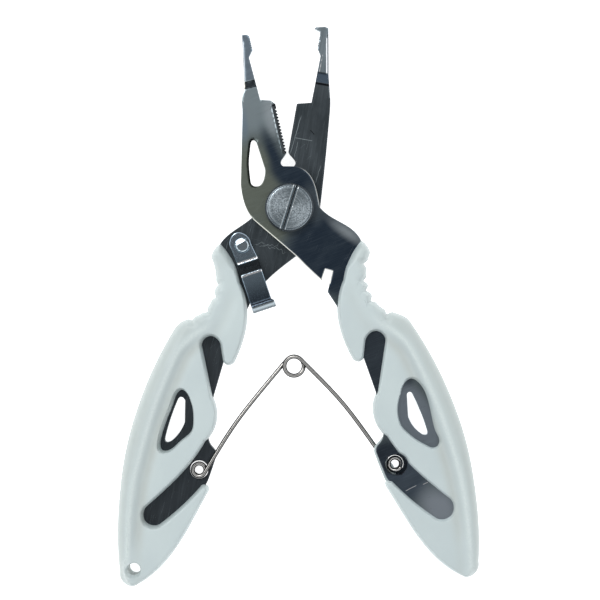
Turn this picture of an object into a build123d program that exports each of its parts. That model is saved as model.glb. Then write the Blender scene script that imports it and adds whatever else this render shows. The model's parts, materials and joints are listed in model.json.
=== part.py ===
from build123d import *
import os
from math import cos, radians, sin, tan

# Compact fishing pliers, open, lying on their back. Millimetres.
# +Y runs from the pivot to the jaw tips, +X to the right, +Z up from the surface.
# The origin is on the pivot axis, in the rear face of the pivot nut.
#
# Both halves are drawn closed and as seen with the jaw to the left of the axis:
# the front half keeps that hand and the rear half is mirrored about the YZ plane.
# Each half is then swung open about the pivot.

# ---- driving dimensions ----
FRONT_OPEN_DEG = 13.05
REAR_OPEN_DEG = 9.9

GRIP_THICK = 8.8
REAR_BLADE_Z = (2.2, 4.4)
FRONT_BLADE_Z = (4.45, 6.6)
NOSE_Z = (3.3, 5.5)
FRONT_JOGGLE_Y = (28.2, 29.4)
REAR_JOGGLE_Y = (28.8, 30.8)

PIVOT_BORE_R = 2.55
SHOULDER_R = 2.5
SCREW_HEAD_R = 5.4
SCREW_HEAD_GAP = 0.05
SCREW_THREAD_R = 1.75
SCREW_SLOT_W = 1.05
SCREW_SLOT_DEPTH = 0.9
SCREW_SLOT_LEAN_DEG = 17.4
NUT_BORE_R = 1.8
NUT_FLOOR = 0.6

CUT_EDGE_X = 2.2
CUT_EDGE_Y = (12.4, 23.2)
CUT_BEVEL_W = 1.0
CUT_BEVEL_DROP = 1.2
CUT_TOOTH_PITCH = 0.72
CUT_TOOTH_DEPTH = 0.42

PAD_Y = (36.4, 39.3)
PAD_TOOTH_PITCH = 0.48
PAD_TOOTH_DEPTH = 0.26

FRONT_SPRING_HOLE_AT = (10.4, -61.2)
REAR_SPRING_HOLE_AT = (9.85, -61.15)
REAR_SPRING_HOLE_R = 2.05
FRONT_SPRING_HOLE_R = 2.35
EYE_CLEARANCE_R = 2.4
LANYARD_AT = (20.2, -85.2)
LANYARD_R = 1.4

RIVET_AT = (8.93, -10.06)
RIVET_SHANK_R = 1.15
RIVET_BORE_R = 1.2
RIVET_HEAD_R = 1.72
RIVET_HEAD_H = 1.0
RIVET_TAIL_R = 1.9

LATCH_SWING_DEG = 18.5
LATCH_THICK = 0.8
LATCH_TAB_Z = 4.45
LATCH_STRAP_Z = 6.75
LATCH_STEP_S = (3.9, 6.9)
LATCH_LENGTH = 15.3
LATCH_LIP_Z = 4.6
LATCH_TAB_R = 3.15
LATCH_HALF_W = 2.4
LATCH_EAR = 0.5

WIRE_R = 0.475
COIL_AT = (1.05, -35.37)
COIL_R = 2.15
COIL_Z = 3.35
COIL_PITCH = 1.55
COIL_SPLIT_DEG = -90
EYE_R = 1.4
LEFT_EYE_PITCH = 1.1
RIGHT_EYE_PITCH = 2.3
LEFT_LEG_DEG = (-130, -121)
RIGHT_LEG_DEG = (-45, -55)
LEFT_EYE_Z = 5.4
RIGHT_EYE_Z = 2.35
RIGHT_EYE_AT = (23.62, -57.27)
EYE_TURN_DEG = 480

# ---- outlines of one half, closed, jaw to the left ----
# Each outline is a list of runs. A run starts where the last one ended:
# one point makes a straight edge and more points make a smooth curve.

# inner edge of the blade root: crimp notch, boss dome, then down to the grip
BOSS_RUNS = [
    [(1.15, 11.2), (0.45, 10.4), (0.7, 9.35)],
    [(3.2, 8.75)],
    [(4.9, 7.8), (6.1, 6.1), (6.75, 3.2), (6.65, -1.4)],
]

# the part of the blade inside the grip, from the shoulder's end round to the guard
TANG_RUNS = [
    [(13.1, -14.0), (11.4, -19.5), (12.2, -24.5), (16.2, -29.5)],
    [(20.3, -37.5), (23.0, -48.0), (24.1, -60.0), (23.6, -72.0)],
    [(22.9, -76.6), (20.6, -78.6), (17.4, -77.2)],
    [(11.2, -70.0), (7.5, -63.3)],
    [(6.6, -57.6)],
    [(6.8, -56.6), (8.2, -55.3), (9.4, -52.0), (9.5, -44.3)],
    [(8.6, -36.3)],
    [(7.6, -31.0), (5.3, -23.5)],
]

FRONT_BLADE_START = (2.2, 12.4)
FRONT_SHOULDER_RUN = [(8.5, -3.95), (11.3, -6.5), (13.9, -10.5)]
FRONT_BLADE_RUNS = BOSS_RUNS + [FRONT_SHOULDER_RUN] + TANG_RUNS + [
    [(4.1, -20.2)],
    [(6.2, -15.9)],
    [(4.72, -15.1)],
    [(3.35, -17.4)],
    [(1.3, -14.4), (-1.0, -10.75)],
    [(-8.3, -0.9)],
    [(-9.35, 2.0), (-9.6, 5.0), (-9.3, 7.8)],
    [(-5.45, 22.8)],
    [(-4.8, 26.4)],
    [(-3.8, 28.2)],
    [(-1.6, 40.1)],
    [(-0.5, 39.9)],
    [(-0.02, 39.4)],
    [(-0.02, 36.4)],
    [(-1.2, 34.9)],
    [(-0.9, 24.95)],
    [(1.4, 24.25)],
    [(2.2, 23.2)],
    [(2.2, 12.4)],
]

REAR_BLADE_START = (2.4, 12.4)
REAR_SHOULDER_RUN = [(8.0, -3.65), (11.3, -7.0), (13.9, -10.5)]
REAR_BLADE_RUNS = BOSS_RUNS + [REAR_SHOULDER_RUN] + TANG_RUNS + [
    [(2.1, -16.6), (-0.2, -13.7), (-3.3, -10.3)],
    [(-5.7, -4.2), (-6.75, 1.3)],
    [(-6.0, 13.4), (-5.05, 24.3)],
    [(-4.25, 27.9)],
    [(-3.55, 30.7)],
    [(-1.7, 41.1)],
    [(-0.9, 41.3)],
    [(1.05, 40.85)],
    [(1.35, 40.5)],
    [(-0.02, 40.05)],
    [(-0.02, 36.3)],
    [(-1.0, 34.8)],
    [(-0.8, 24.15)],
    [(2.2, 23.42)],
    [(2.4, 23.2)],
    [(2.4, 12.4)],
]

GRIP_START = (13.9, -10.5)
GRIP_RUNS = [
    [(14.9, -11.8), (15.4, -13.8)],
    [(13.6, -17.8), (13.3, -21.5), (14.3, -25.2)],
    [(16.6, -27.5), (18.7, -28.7), (20.7, -31.0)],
    [(23.4, -38.9), (25.8, -49.8), (26.8, -61.0), (26.4, -70.0), (25.4, -78.0), (23.4, -86.6)],
    [(22.6, -88.5), (20.8, -89.4), (18.9, -88.7)],
    [(13.4, -82.2), (10.9, -77.0), (6.95, -65.6)],
    [(7.1, -64.6), (7.9, -64.2), (8.9, -64.8)],
    [(12.0, -69.4), (16.1, -74.3)],
    [(17.8, -75.2), (19.6, -74.7), (20.4, -73.2), (20.1, -71.4)],
    [(16.1, -66.3), (13.9, -63.2), (9.6, -54.7)],
    [(8.0, -51.4), (8.1, -47.6), (9.75, -44.4)],
    [(13.9, -33.9)],
    [(13.8, -32.3), (12.5, -31.25), (10.8, -31.7), (9.9, -32.9)],
    [(8.75, -36.3)],
    [(7.5, -37.0), (6.2, -36.2)],
    [(5.2, -31.8), (5.0, -26.4), (8.0, -18.3)],
    [(10.8, -13.4), (13.9, -10.5)],
]

# rim of the right grip behind the edge of its tang, in front of the spring's leg
RIM_Z = (3.55, 4.45)
RIM_START = (9.6, -54.0)
RIM_RUNS = [
    [(7.9, -55.3), (6.4, -56.4), (6.15, -57.7)],
    [(7.0, -63.2)],
    [(7.6, -64.9)],
    [(8.6, -64.7)],
    [(7.4, -61.5)],
    [(7.2, -58.0), (7.7, -56.9), (9.6, -54.0)],
]

FRONT_SKELETON_START = (16.3, -46.2)
FRONT_SKELETON_RUNS = [
    [(16.8, -46.0), (17.4, -46.7)],
    [(18.2, -50.6), (18.75, -55.3)],
    [(18.5, -56.1), (17.5, -55.9)],
    [(15.6, -52.8), (15.3, -51.2)],
    [(16.1, -46.5)],
    [(16.3, -46.2)],
]

REAR_SKELETON_START = (16.05, -45.95)
REAR_SKELETON_RUNS = [
    [(16.65, -45.8), (17.3, -46.6)],
    [(18.1, -50.6), (18.6, -55.2)],
    [(18.3, -56.3), (17.1, -55.9)],
    [(15.3, -52.9), (14.85, -51.2)],
    [(15.6, -46.4)],
    [(16.05, -45.95)],
]

WINDOW_START = (17.9, -43.5)
WINDOW_RUNS = [
    [(18.8, -44.4), (20.1, -50.0), (20.5, -57.3)],
    [(20.1, -58.8), (18.8, -59.0)],
    [(16.1, -56.7), (13.5, -53.1)],
    [(13.3, -50.6), (15.0, -46.0)],
    [(16.3, -44.0), (17.9, -43.5)],
]

JAW_SLOT_START = (-5.2, 15.9)
JAW_SLOT_RUNS = [
    [(-4.55, 16.6), (-3.85, 15.9)],
    [(-3.35, 9.9)],
    [(-3.9, 7.8), (-5.6, 6.25), (-6.9, 6.8), (-7.05, 8.4), (-6.5, 12.0), (-5.2, 15.9)],
]


def outline_face(start, runs):
    """A face bounded by runs: straight where a run has one point, curved where it has more."""
    edges = []
    here = start
    for run in runs:
        points = [here] + run
        edges.append(Line(*points) if len(points) == 2 else Spline(*points))
        here = run[-1]
    if here != start:
        edges.append(Line(here, start))
    return make_face(edges)


def slab(face, z_range):
    """The face pulled up between two heights."""
    return extrude(Pos(0, 0, z_range[0]) * face, z_range[1] - z_range[0])


def disc(radius, z_range, at=(0, 0)):
    """An upright cylinder between two heights."""
    return slab(Pos(*at) * Circle(radius).face(), z_range)


def joggled_layer(root_z, nose_z, y_range):
    """The layer that a blade fills: flat at the root, stepped at the joggle, flat at the nose."""
    y_low, y_high = -100, 60
    profile = Polyline(
        (y_low, root_z[0]), (y_range[0], root_z[0]), (y_range[1], nose_z[0]), (y_high, nose_z[0]),
        (y_high, nose_z[1]), (y_range[1], nose_z[1]), (y_range[0], root_z[1]), (y_low, root_z[1]),
        close=True)
    face = Plane.YZ * make_face(profile)
    return extrude(face, 40, both=True)


def tooth_gaps(edge_x, y_range, pitch, depth):
    """A row of vee-shaped gaps along an edge, to be cut from a blade."""
    count = int((y_range[1] - y_range[0]) / pitch)
    mouth = 0.46 * pitch
    gap = make_face(Polyline((edge_x - depth, 0), (edge_x + 0.1, -mouth), (edge_x + 0.1, mouth), close=True))
    first = y_range[0] + pitch / 2
    return [slab(Pos(0, first + index * pitch) * gap, (0, GRIP_THICK)) for index in range(count)]


def open_front(shape):
    """Swing a closed piece of the front half open."""
    return Rot(0, 0, FRONT_OPEN_DEG) * shape


def open_rear(shape):
    """Mirror a closed piece to the rear half and swing it open."""
    return Rot(0, 0, -REAR_OPEN_DEG) * mirror(shape, about=Plane.YZ)


def open_rear_point(point):
    """Where a point of the closed half ends up on the open rear half."""
    moved = Vector(-point[0], point[1]).rotate(Axis.Z, -REAR_OPEN_DEG)
    return (moved.X, moved.Y)


def cutting_bevel(edge_x, z_top):
    """The wedge ground off the front of the cutting edge."""
    wedge = make_face(Polyline((edge_x - CUT_BEVEL_W, z_top), (edge_x + 1, z_top),
                               (edge_x + 1, z_top - 2 * CUT_BEVEL_DROP),
                               (edge_x, z_top - CUT_BEVEL_DROP), close=True))
    length = CUT_EDGE_Y[1] - CUT_EDGE_Y[0]
    return Pos(0, CUT_EDGE_Y[1], 0) * extrude(Plane.XZ * wedge, length)


def make_front_blade():
    """Left jaw, boss and the tang in the right grip, in one stamping."""
    blade = slab(outline_face(FRONT_BLADE_START, FRONT_BLADE_RUNS), (0, GRIP_THICK))
    blade &= joggled_layer(FRONT_BLADE_Z, NOSE_Z, FRONT_JOGGLE_Y)
    blade -= slab(outline_face(JAW_SLOT_START, JAW_SLOT_RUNS), (0, GRIP_THICK))
    blade -= slab(outline_face(FRONT_SKELETON_START, FRONT_SKELETON_RUNS), (0, GRIP_THICK))
    blade -= disc(PIVOT_BORE_R, (0, GRIP_THICK))
    blade -= disc(FRONT_SPRING_HOLE_R, (0, GRIP_THICK), FRONT_SPRING_HOLE_AT)
    blade -= cutting_bevel(CUT_EDGE_X, FRONT_BLADE_Z[1])
    for gap in tooth_gaps(CUT_EDGE_X, CUT_EDGE_Y, CUT_TOOTH_PITCH, CUT_TOOTH_DEPTH):
        blade -= gap
    for gap in tooth_gaps(-0.02, PAD_Y, PAD_TOOTH_PITCH, PAD_TOOTH_DEPTH):
        blade -= gap
    return open_front(blade)


def make_rear_blade():
    """Right jaw with the ring-opening hook, boss and the tang in the left grip."""
    blade = slab(outline_face(REAR_BLADE_START, REAR_BLADE_RUNS), (0, GRIP_THICK))
    blade &= joggled_layer(REAR_BLADE_Z, NOSE_Z, REAR_JOGGLE_Y)
    blade -= slab(outline_face(REAR_SKELETON_START, REAR_SKELETON_RUNS), (0, GRIP_THICK))
    blade -= disc(PIVOT_BORE_R, (0, GRIP_THICK))
    blade -= disc(REAR_SPRING_HOLE_R, (0, GRIP_THICK), REAR_SPRING_HOLE_AT)
    blade -= disc(RIVET_BORE_R, (0, GRIP_THICK), RIVET_AT)
    for gap in tooth_gaps(-0.02, PAD_Y, PAD_TOOTH_PITCH, PAD_TOOTH_DEPTH):
        blade -= gap
    return open_rear(blade)


def make_grip_block():
    """One moulded grip with its window, before the tang's space is taken out."""
    grip = slab(outline_face(GRIP_START, GRIP_RUNS), (0, GRIP_THICK))
    return grip - slab(outline_face(WINDOW_START, WINDOW_RUNS), (0, GRIP_THICK))


def make_left_grip(blade):
    """Grip on the rear blade's tang, with the lanyard hole at its end."""
    grip = make_grip_block() - disc(LANYARD_R, (0, GRIP_THICK), LANYARD_AT)
    grip -= disc(EYE_CLEARANCE_R, (0, GRIP_THICK), REAR_SPRING_HOLE_AT)
    return open_rear(grip) - blade


def make_right_grip(blade):
    """Grip on the front blade's tang, with a rim that closes its rear edge at the spring."""
    grip = make_grip_block() + slab(outline_face(RIM_START, RIM_RUNS), RIM_Z)
    grip -= disc(EYE_CLEARANCE_R, (0, GRIP_THICK), FRONT_SPRING_HOLE_AT)
    return open_front(grip) - blade


def make_pivot_screw():
    """Slotted head, plain shoulder for the blades and a threaded end for the nut."""
    head_z = (FRONT_BLADE_Z[1] + SCREW_HEAD_GAP, GRIP_THICK)
    head = disc(SCREW_HEAD_R, head_z)
    head = chamfer(head.edges().group_by(Axis.Z)[-1], 0.5)
    slot = Box(3 * SCREW_HEAD_R, SCREW_SLOT_W, 2 * SCREW_SLOT_DEPTH)
    slot = Pos(0, 0, GRIP_THICK) * Rot(0, 0, 90 - SCREW_SLOT_LEAN_DEG) * slot
    shoulder = disc(SHOULDER_R, (REAR_BLADE_Z[0], head_z[0]))
    thread = disc(SCREW_THREAD_R, (NUT_FLOOR, REAR_BLADE_Z[0]))
    return head - slot + shoulder + thread


def make_pivot_nut():
    """Round nut behind the blades, closed at its rear face."""
    nut = disc(SCREW_HEAD_R, (0, REAR_BLADE_Z[0]))
    nut = chamfer(nut.edges().group_by(Axis.Z)[0], 0.4)
    return nut - disc(NUT_BORE_R, (NUT_FLOOR, REAR_BLADE_Z[0]))


def make_latch_rivet():
    """Domed rivet through the latch and the rear blade."""
    top = LATCH_TAB_Z + LATCH_THICK + SCREW_HEAD_GAP
    head = disc(RIVET_HEAD_R, (top, top + RIVET_HEAD_H))
    head = chamfer(head.edges().group_by(Axis.Z)[-1], 0.45)
    shank = disc(RIVET_SHANK_R, (REAR_BLADE_Z[0], top))
    tail = disc(RIVET_TAIL_R, (REAR_BLADE_Z[0] - 0.9, REAR_BLADE_Z[0]))
    tail = chamfer(tail.edges().group_by(Axis.Z)[0], 0.4)
    return Pos(*open_rear_point(RIVET_AT)) * (head + shank + tail)


def make_lock_latch():
    """Stepped steel strap that swings on the rivet and hooks the front blade's notch."""
    top, step = LATCH_THICK, LATCH_STEP_S
    slant = 0.3
    side = Polyline(
        (LATCH_TAB_R, LATCH_TAB_Z), (LATCH_TAB_R, LATCH_TAB_Z + top),
        (-step[0] + slant, LATCH_TAB_Z + top), (-step[1] + slant, LATCH_STRAP_Z + top),
        (-LATCH_LENGTH, LATCH_STRAP_Z + top), (-LATCH_LENGTH, LATCH_LIP_Z),
        (-LATCH_LENGTH + top, LATCH_LIP_Z), (-LATCH_LENGTH + top, LATCH_STRAP_Z),
        (-step[1] - slant, LATCH_STRAP_Z), (-step[0] - slant, LATCH_TAB_Z), close=True)
    strap = extrude(Plane.YZ * make_face(side), 2 * LATCH_TAB_R, both=True)
    lip_edge = strap.edges().filter_by(Axis.X).group_by(Axis.Y)[0].sort_by(Axis.Z)[-1]
    strap = fillet(lip_edge, LATCH_THICK)
    ear_s = LATCH_LENGTH - 2
    plan = outline_face((-2.6, 0), [
        [(-2.1, 2.2), (-0.4, LATCH_TAB_R), (1.3, 2.2), (1.9, 0)],
        [(LATCH_HALF_W, -step[0])],
        [(LATCH_HALF_W, -ear_s)],
        [(LATCH_HALF_W + LATCH_EAR, -ear_s - LATCH_EAR)],
        [(LATCH_HALF_W + LATCH_EAR, -LATCH_LENGTH)],
        [(-LATCH_HALF_W, -LATCH_LENGTH)],
        [(-LATCH_HALF_W, -step[0])],
    ])
    latch = strap & slab(plan, (0, GRIP_THICK))
    latch -= disc(RIVET_BORE_R, (0, GRIP_THICK))
    return Pos(*open_rear_point(RIVET_AT)) * Rot(0, 0, LATCH_SWING_DEG) * latch


def turn_corners(centre, radius, start_deg, sweep_deg, z_start, z_end):
    """Corners of a polygon round a helical turn, then the point where the turn ends."""
    steps = max(2, round(abs(sweep_deg) / 45))
    step_deg = sweep_deg / steps
    reach = radius / cos(radians(step_deg / 2))
    rise = (z_end - z_start) / steps
    corners = []
    for index in range(steps):
        angle = radians(start_deg + (index + 0.5) * step_deg)
        height = z_start + (index + 0.5) * rise
        corners.append((centre[0] + reach * cos(angle), centre[1] + reach * sin(angle), height))
    angle = radians(start_deg + sweep_deg)
    end = (centre[0] + radius * cos(angle), centre[1] + radius * sin(angle), z_end)
    return corners, end


def leg_corner(coil_side_deg, coil_leg_deg, eye, eye_side_deg, eye_leg_deg, z):
    """Where the leg's two straight ends, tangent to the coil and to the eye, would meet."""
    from_x = COIL_AT[0] + COIL_R * cos(radians(coil_side_deg))
    from_y = COIL_AT[1] + COIL_R * sin(radians(coil_side_deg))
    to_x = eye[0] + EYE_R * cos(radians(eye_side_deg))
    to_y = eye[1] + EYE_R * sin(radians(eye_side_deg))
    slope_from = tan(radians(coil_leg_deg))
    slope_to = tan(radians(eye_leg_deg))
    x = (to_y - from_y + slope_from * from_x - slope_to * to_x) / (slope_from - slope_to)
    return (x, from_y + slope_from * (x - from_x), z)


def bent_wire(coil_part, corner, eye_part, leg_turn_deg):
    """Round wire along part of the coil, the bowed leg and the eye."""
    coil_corners, coil_end = coil_part
    eye_corners, eye_end = eye_part
    points = [coil_end] + coil_corners[::-1] + [corner] + eye_corners + [eye_end]
    leg_run = (Vector(*corner) - Vector(*eye_corners[0])).length
    leg_r = 0.4 * leg_run / tan(radians(leg_turn_deg / 2))
    radii = [0.97 * COIL_R] * len(coil_corners) + [leg_r] + [0.97 * EYE_R] * len(eye_corners)
    path = FilletPolyline(*points, radius=radii)
    return sweep((path ^ 0) * Circle(WIRE_R), path=path)


def make_spring_left():
    """Half of the spring: first part of the coil, left leg and the eye in the rear tang."""
    eye = open_rear_point(REAR_SPRING_HOLE_AT)
    coil_side = LEFT_LEG_DEG[0] + 270
    sweep_deg = COIL_SPLIT_DEG - coil_side
    rise = COIL_PITCH * abs(sweep_deg) / 360
    coil = turn_corners(COIL_AT, COIL_R, coil_side, sweep_deg, COIL_Z, COIL_Z + rise)
    eye_side = LEFT_LEG_DEG[1] + 90
    drop = LEFT_EYE_PITCH * EYE_TURN_DEG / 360
    ring = turn_corners(eye, EYE_R, eye_side, -EYE_TURN_DEG, LEFT_EYE_Z, LEFT_EYE_Z - drop)
    corner = leg_corner(coil_side, LEFT_LEG_DEG[0], eye, eye_side, LEFT_LEG_DEG[1],
                        (COIL_Z + LEFT_EYE_Z) / 2)
    return bent_wire(coil, corner, ring, LEFT_LEG_DEG[1] - LEFT_LEG_DEG[0])


def make_spring_right():
    """The other half of the spring: rest of the coil, right leg and the eye in the front tang."""
    coil_side = RIGHT_LEG_DEG[0] + 90
    sweep_deg = COIL_SPLIT_DEG + 360 - coil_side
    first_sweep = LEFT_LEG_DEG[0] + 270 - COIL_SPLIT_DEG
    split_z = COIL_Z + COIL_PITCH * first_sweep / 360
    leg_z = split_z + COIL_PITCH * sweep_deg / 360
    coil = turn_corners(COIL_AT, COIL_R, coil_side, sweep_deg, leg_z, split_z)
    eye_side = RIGHT_LEG_DEG[1] - 90
    rise = RIGHT_EYE_PITCH * EYE_TURN_DEG / 360
    ring = turn_corners(RIGHT_EYE_AT, EYE_R, eye_side, EYE_TURN_DEG, RIGHT_EYE_Z, RIGHT_EYE_Z + rise)
    corner = leg_corner(coil_side, RIGHT_LEG_DEG[0], RIGHT_EYE_AT, eye_side, RIGHT_LEG_DEG[1],
                        (leg_z + RIGHT_EYE_Z) / 2)
    return bent_wire(coil, corner, ring, RIGHT_LEG_DEG[0] - RIGHT_LEG_DEG[1])


def main():
    os.makedirs("parts", exist_ok=True)
    front_blade = make_front_blade()
    rear_blade = make_rear_blade()
    nodes = {
        "front_blade": front_blade,
        "rear_blade": rear_blade,
        "left_grip": make_left_grip(rear_blade),
        "right_grip": make_right_grip(front_blade),
        "pivot_screw": make_pivot_screw(),
        "pivot_nut": make_pivot_nut(),
        "latch_rivet": make_latch_rivet(),
        "lock_latch": make_lock_latch(),
        "spring_left": make_spring_left(),
        "spring_right": make_spring_right(),
    }
    for name, shape in nodes.items():
        export_step(shape, f"parts/{name}.step")
        size = shape.bounding_box().size
        print(f"{name}: {shape.volume:.1f} mm3, {size.X:.1f} x {size.Y:.1f} x {size.Z:.1f} mm")


main()
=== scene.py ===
"""Looks for the compact fishing pliers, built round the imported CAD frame."""

import json
from math import cos, pi, radians, sin, tan

import bmesh
import bpy
import numpy as np
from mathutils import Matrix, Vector
from mathutils.bvhtree import BVHTree
from mathutils.geometry import delaunay_2d_cdt


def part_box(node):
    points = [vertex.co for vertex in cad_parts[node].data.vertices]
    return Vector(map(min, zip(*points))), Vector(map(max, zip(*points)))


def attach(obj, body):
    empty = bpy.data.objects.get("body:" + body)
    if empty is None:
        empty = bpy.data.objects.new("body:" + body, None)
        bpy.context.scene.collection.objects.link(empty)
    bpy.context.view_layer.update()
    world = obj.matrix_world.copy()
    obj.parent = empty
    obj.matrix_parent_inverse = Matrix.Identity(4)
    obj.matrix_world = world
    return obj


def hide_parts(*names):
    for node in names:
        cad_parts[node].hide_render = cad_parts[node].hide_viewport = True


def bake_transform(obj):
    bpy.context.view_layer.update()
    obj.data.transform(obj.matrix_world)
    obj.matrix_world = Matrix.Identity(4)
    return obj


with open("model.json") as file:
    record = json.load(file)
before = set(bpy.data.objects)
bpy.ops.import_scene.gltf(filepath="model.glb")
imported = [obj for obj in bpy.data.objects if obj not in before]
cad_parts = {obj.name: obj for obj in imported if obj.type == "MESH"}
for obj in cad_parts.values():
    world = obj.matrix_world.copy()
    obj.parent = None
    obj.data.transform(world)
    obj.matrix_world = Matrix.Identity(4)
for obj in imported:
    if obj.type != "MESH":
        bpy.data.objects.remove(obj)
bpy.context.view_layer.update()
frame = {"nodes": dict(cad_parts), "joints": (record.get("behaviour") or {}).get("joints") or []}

# Shapes are worked out in millimetres and turned into metres when a mesh is made.
MM = 0.001

# How each half was swung open, and its hand: turning a half back by this puts its
# grip to the right of the pivot, whichever half it is.
CLOSE_DEG = {"left": 9.9, "right": -13.05}
HAND = {"left": -1, "right": 1}


# ---- plane geometry

def to_closed(points, half):
    """Rest-frame points of a half, moved to the closed frame with the grip to the right."""
    angle = radians(CLOSE_DEG[half])
    x = points[:, 0] * cos(angle) - points[:, 1] * sin(angle)
    y = points[:, 0] * sin(angle) + points[:, 1] * cos(angle)
    return np.column_stack([x * HAND[half], y])


def to_rest(points, half):
    """Closed-frame points moved back to where the half rests."""
    angle = -radians(CLOSE_DEG[half])
    x = points[:, 0] * HAND[half]
    y = points[:, 1]
    return np.column_stack([x * cos(angle) - y * sin(angle), x * sin(angle) + y * cos(angle)])


def ease(value):
    """0 to 1 with soft ends."""
    t = np.clip(value, 0, 1)
    return t * t * (3 - 2 * t)


def lengths(rows):
    """Length of each row taken as a vector."""
    return np.linalg.norm(rows, axis=1)


def circle(count, start, end):
    """Points on a unit circle from one angle up to another, without the last."""
    turns = np.linspace(start, end, count, endpoint=False)
    return np.column_stack([np.cos(turns), np.sin(turns)])


def sides_of(loops):
    """Where every side of some loops starts and where it ends."""
    return np.vstack(loops), np.vstack([np.roll(loop, -1, axis=0) for loop in loops])


def signed_area(loop):
    """Area of a loop, positive when it runs anticlockwise."""
    following = np.roll(loop, -1, axis=0)
    return 0.5 * np.sum(loop[:, 0] * following[:, 1] - following[:, 0] * loop[:, 1])


def plan_loops(node, only_top=False):
    """Outlines of a CAD node seen from above, in millimetres: outer counter-clockwise, holes clockwise."""
    mesh = frame["nodes"][node].data
    points = [(round(v.co.x / MM, 3), round(v.co.y / MM, 3)) for v in mesh.vertices]
    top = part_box(node)[1].z - 1e-5
    directed = set()
    for face in mesh.polygons:
        if face.normal.z < 0.3 or (only_top and face.center.z < top):
            continue
        ids = [points[i] for i in face.vertices]
        directed.update(zip(ids, ids[1:] + ids[:1]))
    following = {a: b for a, b in sorted(directed) if (b, a) not in directed and a != b}
    loops = []
    while following:
        start = min(following)
        loop = [start]
        here = following.pop(start)
        while here != start and here in following:
            loop.append(here)
            here = following.pop(here)
        if len(loop) > 3:
            loops.append(np.array(loop))
    return sorted(loops, key=lambda loop: -abs(signed_area(loop)))


def smooth_run(points, step, closed=False):
    """Points along a curve through the given ones, evenly spaced, without the last."""
    steps = np.diff(points, axis=0)
    chords = np.maximum(lengths(steps), 1e-9)[:, None]
    if len(points) > 2:
        units = steps / chords
        pull = chords ** 2
        inner = (units[:-1] * pull[:-1] + units[1:] * pull[1:]) / (pull[:-1] + pull[1:])
        seam = (units[-1:] * pull[-1:] + units[:1] * pull[:1]) / (pull[-1:] + pull[:1])
        first, last = (seam, seam) if closed else (units[:1], units[-1:])
        tangents = np.vstack([first, inner, last])
        fine = []
        for index, chord in enumerate(chords[:, 0]):
            t = np.arange(8)[:, None] / 8
            fine.append((2 * t ** 3 - 3 * t ** 2 + 1) * points[index]
                        + (t ** 3 - 2 * t ** 2 + t) * chord * tangents[index]
                        + (3 * t ** 2 - 2 * t ** 3) * points[index + 1]
                        + (t ** 3 - t ** 2) * chord * tangents[index + 1])
        points = np.vstack(fine + [points[-1:]])
    travel = np.concatenate([[0], np.cumsum(lengths(np.diff(points, axis=0)))])
    count = max(1, int(round(travel[-1] / step)))
    at = np.linspace(0, travel[-1], count, endpoint=False)
    return np.column_stack([np.interp(at, travel, points[:, i]) for i in (0, 1)])


def smooth_loop(loop, step, corner_deg=28):
    """A loop resampled evenly, with curves through its points and its sharp corners kept."""
    before = loop - np.roll(loop, 1, axis=0)
    after = np.roll(loop, -1, axis=0) - loop
    turn = np.arctan2(before[:, 0] * after[:, 1] - before[:, 1] * after[:, 0],
                      np.sum(before * after, axis=1))
    corners = list(np.nonzero(np.abs(turn) > radians(corner_deg))[0])
    if not corners:
        return smooth_run(np.vstack([loop, loop[:1]]), step, closed=True)
    runs = []
    for first, last in zip(corners, corners[1:] + [corners[0] + len(loop)]):
        ids = np.arange(first, last + 1) % len(loop)
        runs.append(smooth_run(loop[ids], step))
    return np.vstack(runs)


def soften(loop, passes):
    """Round a loop's corners a little."""
    for _ in range(passes):
        loop = 0.5 * loop + 0.25 * (np.roll(loop, 1, axis=0) + np.roll(loop, -1, axis=0))
    return loop


def nearest(points, starts, ends):
    """Distance to the nearest segment, that segment's number and the place along it."""
    along = ends - starts
    size = np.maximum(np.sum(along ** 2, axis=1), 1e-12)
    distance = np.empty(len(points))
    number = np.empty(len(points), int)
    place = np.empty(len(points))
    for low in range(0, len(points), 500):
        part = points[low:low + 500, None, :] - starts[None]
        t = np.clip(np.sum(part * along[None], axis=2) / size, 0, 1)
        gap = np.linalg.norm(part - t[..., None] * along[None], axis=2)
        best = np.argmin(gap, axis=1)
        rows = np.arange(len(best))
        distance[low:low + 500] = gap[rows, best]
        number[low:low + 500] = best
        place[low:low + 500] = t[rows, best]
    return distance, number, place


def inward_of(along):
    """Unit vectors to the left of the given directions, which is into the material."""
    inward = np.column_stack([-along[:, 1], along[:, 0]])
    return inward / np.maximum(lengths(inward), 1e-9)[:, None]


def is_inside(points, starts, ends):
    """Whether each point is inside the loops that the segments make."""
    crossings = np.zeros(len(points), int)
    x, y = points[:, 0], points[:, 1]
    for (x0, y0), (x1, y1) in zip(starts, ends):
        if y0 == y1:
            continue
        spans = (y0 > y) != (y1 > y)
        crossings += spans & (x < x0 + (x1 - x0) * (y - y0) / (y1 - y0))
    return crossings % 2 == 1


def side_of_line(points, line):
    """Distance to an open line, positive to the left of its direction."""
    starts, ends = line[:-1], line[1:]
    distance, number, _ = nearest(points, starts, ends)
    along = ends[number] - starts[number]
    offset = points - starts[number]
    side = np.sign(along[:, 0] * offset[:, 1] - along[:, 1] * offset[:, 0])
    return distance * side


# ---- sheets of material

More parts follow.
